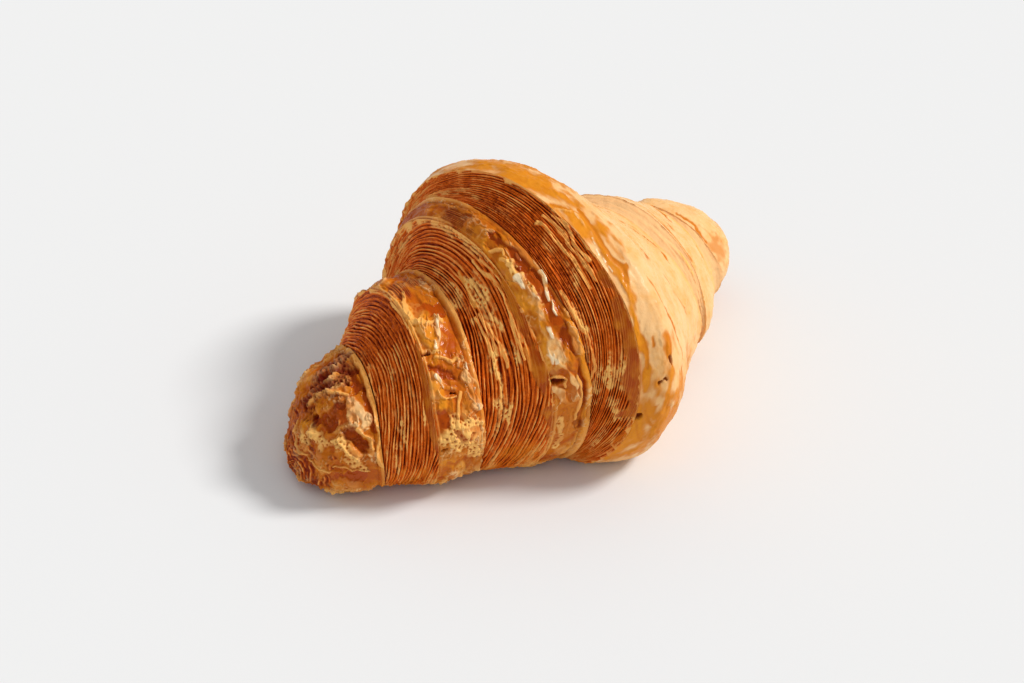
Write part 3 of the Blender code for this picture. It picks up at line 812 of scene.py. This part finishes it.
class Sheet:
    """One band as a closed skin: a grid of points with its finish, whose two ends turn in towards the
    roll's middle line, where they are closed by a fan."""

    def __init__(self, band, look):
        self.turn = -np.pi / 2 + 2 * np.pi * np.arange(band.columns) / band.columns
        rings, share = band_rows(band)
        grid = points_on_roll(rings, self.turn)
        radius = rings[:, [RADIUS]]
        width = band_width(grid)
        relief = face_relief if band.face else skin_relief
        height, finish = relief(grid, share[:, None], self.turn[None], band, look, (width, radius))
        free = smooth_step(0.2 * MM, 2.5 * MM, grid[..., 2])
        grid = grid + grid_normals(grid) * (height * free)[..., None]
        grid[..., 2] = np.maximum(grid[..., 2], 0)
        self.points = np.concatenate([self.turned_in(grid[0]), grid, self.turned_in(grid[-1])])
        rows = np.clip(np.arange(len(self.points)) - 1, 0, len(grid) - 1)
        self.finish = np.stack([np.broadcast_to(layer, grid.shape[:2]) for layer in finish], axis=-1)[rows]
        self.place = (slid_share(share[:, None], self.turn[None], band) * band_width(grid))[rows]

    def turned_in(self, ring):
        """A copy of an end's ring drawn in towards its middle, which gives the edge its thickness."""
        return (ring + (ring.mean(axis=0) - ring) * INSET)[None]

    def mesh(self, name):
        """The sheet as a mesh: quads between the rows, and a fan of triangles at each end."""
        rows, columns = self.points.shape[:2]
        count = rows * columns
        ends = [self.points[0].mean(axis=0), self.points[-1].mean(axis=0)]
        points = np.concatenate([self.points.reshape(-1, 3), ends]) + SHIFT
        index = np.arange(count).reshape(rows, columns)
        after = np.roll(index, -1, axis=1)
        quads = np.stack([index[:-1], index[1:], after[1:], after[:-1]], axis=-1).reshape(-1, 4)[:, ::-1]
        first = np.stack([index[0], after[0], np.full(columns, count)], axis=-1)[:, ::-1]
        last = np.stack([after[-1], index[-1], np.full(columns, count + 1)], axis=-1)[:, ::-1]
        corners = np.concatenate([quads.ravel(), first.ravel(), last.ravel()]).astype(np.int32)
        sizes = np.concatenate([np.full(len(quads), 4), np.full(2 * columns, 3)])
        starts = np.concatenate([[0], np.cumsum(sizes)[:-1]]).astype(np.int32)
        mesh = bpy.data.meshes.new(name)
        mesh.vertices.add(len(points))
        mesh.vertices.foreach_set("co", points.astype(np.float32).ravel())
        mesh.loops.add(len(corners))
        mesh.loops.foreach_set("vertex_index", corners)
        mesh.polygons.add(len(sizes))
        mesh.polygons.foreach_set("loop_start", starts)
        mesh.update(calc_edges=True)
        mesh.shade_smooth()
        self.sharpen_ends(mesh, columns, rows)
        self.store_finish(mesh, count)
        self.store_place(mesh, corners, columns, count)
        return mesh

    def sharpen_ends(self, mesh, columns, rows):
        """Makes the first and last ring of the band sharp, so that the turned-in ends don't tilt its
        shading."""
        edges = np.empty(len(mesh.edges) * 2, np.int32)
        mesh.edges.foreach_get("vertices", edges)
        ring = edges.reshape(-1, 2) // columns
        sharp = (ring[:, 0] == ring[:, 1]) & ((ring[:, 0] == 1) | (ring[:, 0] == rows - 2))
        mesh.attributes.new("sharp_edge", "BOOLEAN", "EDGE").data.foreach_set("value", sharp)

    def store_finish(self, mesh, count):
        """Writes the finish into three colour attributes, three shares in each."""
        layers = self.finish.reshape(count, len(Finish._fields))
        layers = np.concatenate([layers, layers[[0, -1]]])
        for name, part in (("dough", layers[:, :3]), ("bake", layers[:, 3:6]), ("wash", layers[:, 6:])):
            values = np.concatenate([part, np.ones((len(part), 1))], axis=1).astype(np.float32)
            mesh.attributes.new(name, "FLOAT_COLOR", "POINT").data.foreach_set("color", values.ravel())

    def store_place(self, mesh, corners, columns, count):
        """Writes the place across the leaves and the length along them, in metres, as the UV map "roll".
        Its seam is underneath, where the first column follows the last."""
        across = np.append(self.place.ravel(), [self.place[0, 0], self.place[-1, 0]])
        length = np.linalg.norm(np.diff(self.points[len(self.points) // 2], axis=0), axis=-1)
        along = np.append(0, np.cumsum(length))[np.minimum(np.arange(count + 2) % columns, columns - 1)]
        uv = np.stack([across[corners], along[corners]], axis=-1).astype(np.float32)
        mesh.uv_layers.new(name="roll").data.foreach_set("uv", uv.ravel())


class Socket:
    """A node's output, or a number, that can be used in sums: each sum adds a Math node."""

    def __init__(self, nodes, value):
        self.nodes = nodes
        self.value = value

    def math(self, operation, *others, clamp=False):
        """A Math node on this value and others."""
        settings = {"operation": operation, "use_clamp": clamp}
        return self.nodes.node("ShaderNodeMath", settings, [self, *others])

    def __add__(self, other):
        return self.math("ADD", other)

    def __sub__(self, other):
        return self.math("SUBTRACT", other)

    def __rsub__(self, other):
        return Socket(self.nodes, other).math("SUBTRACT", self)

    def __mul__(self, other):
        return self.math("MULTIPLY", other)

    def clamped(self):
        """The value held between 0 and 1."""
        return self.math("ADD", 0.0, clamp=True)


class Nodes:
    """Builds one material's node tree."""

    def __init__(self, name):
        self.material = bpy.data.materials.new(name)
        self.material.use_nodes = True
        self.tree = self.material.node_tree
        self.shader = self.tree.nodes["Principled BSDF"]

    def node(self, kind, settings, inputs, output=0):
        """Adds a node of this kind, sets its settings, then its sockets from values or links."""
        made = self.tree.nodes.new(kind)
        for key, value in settings.items():
            setattr(made, key, value)
        pairs = inputs.items() if isinstance(inputs, dict) else enumerate(inputs)
        for key, value in pairs:
            self.feed(made.inputs[key], value)
        return Socket(self, made.outputs[output])

    def feed(self, socket, value):
        """Links a socket to a value's output, or sets it to a plain value."""
        if isinstance(value, Socket):
            value = value.value
        if isinstance(value, bpy.types.NodeSocket):
            self.tree.links.new(value, socket)
        else:
            socket.default_value = value

    def mix(self, share, first, second):
        """A colour that goes from the first to the second."""
        made = self.tree.nodes.new("ShaderNodeMix")
        made.data_type = "RGBA"
        self.feed(made.inputs[0], share)
        self.feed(made.inputs[6], first)
        self.feed(made.inputs[7], second)
        return Socket(self, made.outputs[2])

    def noise(self, scale, detail=3.0, roughness=0.55, vector=None):
        """Noise in Object coordinates, with its scale in cells to the metre."""
        settings = {"noise_dimensions": "3D"}
        inputs = {"Scale": scale, "Detail": detail, "Roughness": roughness}
        inputs["Vector"] = vector or self.object_place()
        return self.node("ShaderNodeTexNoise", settings, inputs)

    def object_place(self):
        """Object coordinates."""
        return self.node("ShaderNodeTexCoord", {}, [], "Object")

    def along_leaves(self, across, along):
        """The UV map "roll" scaled to these cells to the metre across the leaves and along them."""
        place = self.node("ShaderNodeUVMap", {"uv_map": "roll"}, [])
        return self.node("ShaderNodeVectorMath", {"operation": "MULTIPLY"}, [place, (across, along, 1.0)])

    def shares(self, name):
        """The three shares that an attribute carries."""
        colour = self.node("ShaderNodeAttribute", {"attribute_name": name}, [], "Color")
        parts = self.tree.nodes.new("ShaderNodeSeparateColor")
        self.feed(parts.inputs[0], colour)
        return [Socket(self, parts.outputs[k]) for k in range(3)]


def colour_prop(name, description, default):
    """A colour setting."""
    return FloatVectorProperty(name=name, description=description, default=default, size=3, min=0, max=1,
                               subtype="COLOR")


class CornettoCrust(bpy.types.PropertyGroup):
    """Colours and gloss of the baked dough."""

    # Gap is also the colour that the painted shade mixes in
    gap: colour_prop("Gap", "The dark dough deep between the leaves", (0.17, 0.0050, 0.0002))
    leaf: colour_prop("Leaf", "The body of a leaf on a cut face", (0.86, 0.158, 0.0065))
    # Lip is painted on raised edges, partly as light catching them
    lip: colour_prop("Lip", "The thin edge of a leaf, which bakes pale", (1.0, 0.49, 0.12))
    froth: colour_prop("Froth", "Crumb that has bubbled up between leaves", (1.0, 0.545, 0.15))
    gold: colour_prop("Gold", "The washed skin", (0.72, 0.218, 0.008))
    bright: colour_prop("Bright gold", "The washed skin where it is brightest", (0.80, 0.282, 0.014))
    ochre: colour_prop("Ochre", "The washed skin where it is browner", (0.55, 0.125, 0.0045))
    tan: colour_prop("Tan", "Matt brown patches and the lines on pale dough", (0.68, 0.20, 0.012))
    pool: colour_prop("Pool", "Wash that has run together and browned", (0.46, 0.070, 0.0008))
    pale: colour_prop("Pale", "Dough that the oven browned least", (0.93, 0.56, 0.25))
    peach: colour_prop("Peach", "The pinker mottling of the pale dough", (0.85, 0.40, 0.10))
    # Light is the colour of the painted highlights on the shine marks
    light: colour_prop("Light", "The lightest ridges of the skin", (1.0, 0.77, 0.47))
    roughness: FloatProperty(name="Roughness", description="Roughness of the dry dough", default=0.55,
                             min=0, max=1, subtype="FACTOR")
    gloss: FloatProperty(name="Gloss", description="Strength of the wash's shine", default=0.17,
                         min=0, max=1, subtype="FACTOR")


class CornettoRelief(bpy.types.PropertyGroup):
    """Depths of the leaves and blisters."""

    leaf_depth: FloatProperty(name="Leaf depth", description="From a leaf's lip down into the gap beside it",
                              default=1.0 * MM, min=0, max=3 * MM, unit="LENGTH")
    blister_height: FloatProperty(name="Blister height", description="Rise of the blisters on the skins",
                                  default=0.68 * MM, min=0, max=2 * MM, unit="LENGTH")
    crease: FloatProperty(name="Crease", description="Depth of the crease at the foot of each cut face",
                          default=0.35 * MM, min=0, max=2 * MM, unit="LENGTH")


class CornettoStage(bpy.types.PropertyGroup):
    """The floor, the lights and the camera."""

    floor_colour: colour_prop("Floor", "Colour of the plain floor", (0.805, 0.812, 0.818))
    sun_strength: FloatProperty(name="Key light", description="Strength of the key light", default=2.5, min=0,
                                subtype="POWER")
    sky_strength: FloatProperty(name="Fill light", description="Strength of the even light all round",
                                default=0.55, min=0)
    distance: FloatProperty(name="Distance", description="From the camera to the cornetto", default=0.7012,
                            min=0.1, unit="LENGTH")


# Cells to the metre of the fine grain, patches, mottling, bumps and pores, and of the streaks across the
# leaves and along them
GRAIN = 1100.0
PATCH = 120.0
MOTTLE = 420.0
BUMPS = 1600.0
PORES = 330.0
STREAK_ACROSS = 2600.0
STREAK_ALONG = 260.0
COAT_ROUGHNESS = 0.13
COAT_IOR = 1.5
DOUGH_SPECULAR = 0.08
BUMP_STRENGTH = 0.4
BUMP_HEIGHT = 0.5 * MM


def crust_material(crust):
    """Baked dough: gaps, leaves and lips on the faces, gold skin and brown pools elsewhere, and a wash that
    shines.
    Painted shade darkens the gaps, creases, hollows and pits, the lips and ridges are paler partly as painted
    light, and the shine marks carry painted highlights."""
    nodes = Nodes("baked dough")
    lip, skin, pool = nodes.shares("dough")
    pale, froth, dark = nodes.shares("bake")
    gold, shine, tan = nodes.shares("wash")
    grain = nodes.noise(GRAIN, 4.0, 0.65)
    patch = nodes.noise(PATCH, 4.0, 0.6)
    mottle = nodes.noise(MOTTLE, 4.0, 0.65)
    streak = nodes.noise(1.0, 3.0, 0.6, nodes.along_leaves(STREAK_ACROSS, STREAK_ALONG))
    # Faces: the gap colour where the lip share is low, painted shade, and the lip colour where it is high,
    # partly painted light
    rise = (lip + (streak - 0.5) * 0.75 + (grain - 0.5) * 0.55).clamped()
    face = nodes.mix((rise * 2.1).clamped(), (*crust.gap, 1), (*crust.leaf, 1))
    face = nodes.mix((rise * 2.2 - 1.05).clamped(), face, (*crust.lip, 1))
    face = nodes.mix((gold * 0.55).clamped(), face, (*crust.bright, 1))
    face = nodes.mix((pale * 0.93).clamped(), face, (*crust.pale, 1))
    golden = nodes.mix((patch * 1.2 + mottle * 1.4 - 0.85).clamped(), (*crust.gold, 1), (*crust.ochre, 1))
    golden = nodes.mix((gold * 0.85 + (mottle - 0.5) * 1.6 * gold).clamped(), golden, (*crust.bright, 1))
    golden = nodes.mix((pool * 1.2 + (mottle - 0.5) * 1.0 * pool - 0.05).clamped(), golden, (*crust.pool, 1))
    dough = nodes.mix((patch * 2.4 + mottle * 1.6 - 1.75).clamped(), (*crust.pale, 1), (*crust.peach, 1))
    cream = (pale * 1.25 + (mottle - 0.5) * 0.7 - 0.12).clamped()
    golden = nodes.mix((cream * pale * 1.1).clamped(), golden, dough)
    golden = nodes.mix((tan * 0.8 + (mottle - 0.5) * tan).clamped(), golden, (*crust.tan, 1))
    colour = nodes.mix(skin, face, golden)
    colour = nodes.mix((lip * skin * 0.8 - 0.05).clamped(), colour, (*crust.lip, 1))
    colour = nodes.mix((froth * 1.3 + (grain - 0.5) * 0.8 * froth).clamped(), colour, (*crust.froth, 1))
    # Painted highlight: the shine marks mixed towards the light colour
    painted_highlight = shine * 1.4 + (mottle - 0.5) * 1.3 * shine - 0.38
    colour = nodes.mix(painted_highlight.clamped(), colour, (*crust.light, 1))
    pore_inputs = {"Vector": nodes.object_place(), "Scale": PORES}
    pores = nodes.node("ShaderNodeTexVoronoi", {"feature": "F1"}, pore_inputs)
    pore = (0.9 - pores * 11.0).clamped() * (patch * 3.0 - 1.3).clamped() * pale * skin
    colour = nodes.mix(pore * 0.7, colour, (*crust.tan, 1))
    # Painted shade: the dark share mixes in the gap colour
    colour = nodes.mix((dark * 0.9).clamped(), colour, (*crust.gap, 1))
    nodes.feed(nodes.shader.inputs["Base Color"], colour)
    nodes.feed(nodes.shader.inputs["Roughness"], crust.roughness - skin * 0.15 + (grain - 0.5) * 0.2)
    facing = nodes.node("ShaderNodeLayerWeight", {}, {"Blend": 0.5}, "Facing")
    wet = skin * (1 - pale * 0.75) * (1 - froth * 0.7) * crust.gloss + shine * 0.75
    nodes.feed(nodes.shader.inputs["Coat Weight"], (wet * (1 - dark * 0.8) * (1.15 - facing * 1.4)).clamped())
    nodes.shader.inputs["Coat Roughness"].default_value = COAT_ROUGHNESS
    nodes.shader.inputs["Coat IOR"].default_value = COAT_IOR
    nodes.shader.inputs["Specular IOR Level"].default_value = DOUGH_SPECULAR
    bumps = nodes.noise(BUMPS, 5.0, 0.7) * (1.1 - skin * 0.7) + mottle * (0.9 - shine * 0.6)
    bump_inputs = {"Strength": BUMP_STRENGTH, "Distance": BUMP_HEIGHT, "Height": bumps}
    bump = nodes.node("ShaderNodeBump", {}, bump_inputs)
    nodes.feed(nodes.shader.inputs["Normal"], bump)
    return nodes.material


def floor_material(stage):
    """Plain pale floor, faintly uneven in its roughness."""
    nodes = Nodes("plain floor")
    nodes.shader.inputs["Base Color"].default_value = (*stage.floor_colour, 1)
    nodes.feed(nodes.shader.inputs["Roughness"], nodes.noise(40.0) * 0.1 + 0.6)
    nodes.shader.inputs["Specular IOR Level"].default_value = 0.0
    return nodes.material


def shared_material(name, maker, settings):
    """The material of this name, made the first time it is asked for."""
    return bpy.data.materials.get(name) or maker(settings)


def bake_band(context, band):
    """Makes one band, finishes it and hangs it on the frame."""
    relief = context.scene.cornetto_relief
    mesh = Sheet(band, Look(relief.leaf_depth, relief.blister_height, relief.crease)).mesh(band.name)
    mesh.materials.append(shared_material("baked dough", crust_material, context.scene.cornetto_crust))
    piece = bpy.data.objects.new(band.name, mesh)
    context.scene.collection.objects.link(piece)
    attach(piece, "root")
    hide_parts(NODE)


class CORNETTO_OT_tips(bpy.types.Operator):
    """Makes the two tips: rounded noses of skin, the left one blistered and the right one pale"""

    bl_idname = "cornetto.tips"
    bl_label = "Tips"

    def execute(self, context):
        for band in BANDS:
            if band.name in TIPS:
                bake_band(context, band)
        return {"FINISHED"}


class CORNETTO_OT_faces(bpy.types.Operator):
    """Makes the cut faces, where the leaves of the dough show"""

    bl_idname = "cornetto.faces"
    bl_label = "Cut faces"

    def execute(self, context):
        for band in BANDS:
            if band.face:
                bake_band(context, band)
        return {"FINISHED"}


class CORNETTO_OT_skins(bpy.types.Operator):
    """Makes the washed skins between the cut faces"""

    bl_idname = "cornetto.skins"
    bl_label = "Skins"

    def execute(self, context):
        for band in BANDS:
            if not band.face and band.name not in TIPS:
                bake_band(context, band)
        return {"FINISHED"}


# The photograph's view, in metres and degrees: the point of the ground that the view is set by, how far
# right of and below the middle of the frame it lies, and the directions of the view and the key light
VIEW_POINT = (2.4 * MM, 0.3 * MM, 0.0)
VIEW_RIGHT = 8.12 * MM
VIEW_BELOW = 12.62 * MM
VIEW_TURN = math.radians(-40.35)
VIEW_DOWN = math.radians(35.61)
LENS_MM = 85.0
FAR_END = 20.0
SUN_RIGHT_AWAY_UP = (0.72, 0.12, 0.68)
SUN_ANGLE = math.radians(15.0)
SUN_COLOUR = (1.0, 0.985, 0.965)
FLOOR_SIDE = 6.0


def view_axes():
    """The camera's right, up and back directions."""
    right = np.array([math.cos(VIEW_TURN), math.sin(VIEW_TURN), 0.0])
    away = np.array([-math.sin(VIEW_TURN), math.cos(VIEW_TURN), 0.0])
    up = away * math.sin(VIEW_DOWN) + np.array([0, 0, math.cos(VIEW_DOWN)])
    back = -away * math.cos(VIEW_DOWN) + np.array([0, 0, math.sin(VIEW_DOWN)])
    return right, away, up, back


def place_by_axes(item, right, up, back, place):
    """Turns an object so that it looks against back, and puts it at a place."""
    matrix = np.eye(4)
    matrix[:3, :4] = np.stack([right, up, back, place], axis=1)
    item.matrix_world = Matrix(matrix.tolist())


class CORNETTO_OT_stage(bpy.types.Operator):
    """Makes the floor, the key light, the even fill and the camera"""

    bl_idname = "cornetto.stage"
    bl_label = "Floor, lights and camera"

    def execute(self, context):
        stage = context.scene.cornetto_stage
        right, away, up, back = view_axes()
        self.make_floor(context, stage)
        self.make_camera(context, stage, right, up, back)
        self.make_sun(context, stage, right, away)
        self.make_sky(context, stage)
        context.scene.view_settings.view_transform = "Standard"
        return {"FINISHED"}

    def make_floor(self, context, stage):
        """A plain square floor at z = 0."""
        half = FLOOR_SIDE / 2
        mesh = bpy.data.meshes.new("floor")
        corners = [(-half, -half, 0), (half, -half, 0), (half, half, 0), (-half, half, 0)]
        mesh.from_pydata(corners, [], [(0, 1, 2, 3)])
        mesh.materials.append(floor_material(stage))
        floor = bpy.data.objects.new("floor", mesh)
        context.scene.collection.objects.link(floor)

    def make_camera(self, context, stage, right, up, back):
        """The camera, at the photograph's angle."""
        camera = bpy.data.objects.new("camera", bpy.data.cameras.new("camera"))
        camera.data.lens = LENS_MM
        camera.data.clip_end = FAR_END
        context.scene.collection.objects.link(camera)
        place = np.array(VIEW_POINT) - VIEW_RIGHT * right + VIEW_BELOW * up + stage.distance * back
        place_by_axes(camera, right, up, back, place)
        context.scene.camera = camera

    def make_sky(self, context, stage):
        """The even fill: a white world that glossy rays don't see."""
        world = bpy.data.worlds.new("fill light")
        context.scene.world = world
        world.use_nodes = True
        background = world.node_tree.nodes["Background"]
        background.inputs["Color"].default_value = (1, 1, 1, 1)
        background.inputs["Strength"].default_value = stage.sky_strength
        world.cycles_visibility.glossy = False

    def make_sun(self, context, stage, right, away):
        """The key light, a soft sun from the right."""
        aside, onward, upward = SUN_RIGHT_AWAY_UP
        towards = right * aside + away * onward + np.array([0, 0, upward])
        towards = towards / np.linalg.norm(towards)
        side = np.cross([0, 0, 1], towards)
        side = side / np.linalg.norm(side)
        sun = bpy.data.objects.new("key light", bpy.data.lights.new("key light", "SUN"))
        sun.data.energy = stage.sun_strength
        sun.data.angle = SUN_ANGLE
        sun.data.color = SUN_COLOUR
        context.scene.collection.objects.link(sun)
        place_by_axes(sun, side, np.cross(towards, side), towards, towards)


class CORNETTO_PT_panel(bpy.types.Panel):
    """Lists the steps that bake the cornetto"""

    bl_idname = "CORNETTO_PT_panel"
    bl_label = "Cornetto"
    bl_space_type = "VIEW_3D"
    bl_region_type = "UI"
    bl_category = "Cornetto"

    def draw(self, context):
        for key in GROUPS:
            group = getattr(context.scene, key)
            for name in group.__annotations__:
                self.layout.prop(group, name)
        for operator in OPERATORS:
            self.layout.operator(operator.bl_idname)


GROUPS = {"cornetto_crust": CornettoCrust, "cornetto_relief": CornettoRelief, "cornetto_stage": CornettoStage}
OPERATORS = (CORNETTO_OT_tips, CORNETTO_OT_faces, CORNETTO_OT_skins, CORNETTO_OT_stage)


def register():
    """Registers the settings, the steps and the panel."""
    for name, group in GROUPS.items():
        bpy.utils.register_class(group)
        setattr(bpy.types.Scene, name, PointerProperty(type=group))
    for operator in OPERATORS:
        bpy.utils.register_class(operator)
    bpy.utils.register_class(CORNETTO_PT_panel)


def unregister():
    """Takes away what register added."""
    bpy.utils.unregister_class(CORNETTO_PT_panel)
    for operator in OPERATORS:
        bpy.utils.unregister_class(operator)
    for name, group in GROUPS.items():
        delattr(bpy.types.Scene, name)
        bpy.utils.unregister_class(group)


def main():
    """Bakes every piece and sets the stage."""
    register()
    for operator in OPERATORS:
        module, step = operator.bl_idname.split(".")
        getattr(getattr(bpy.ops, module), step)()


if __name__ == "__main__":
    main()
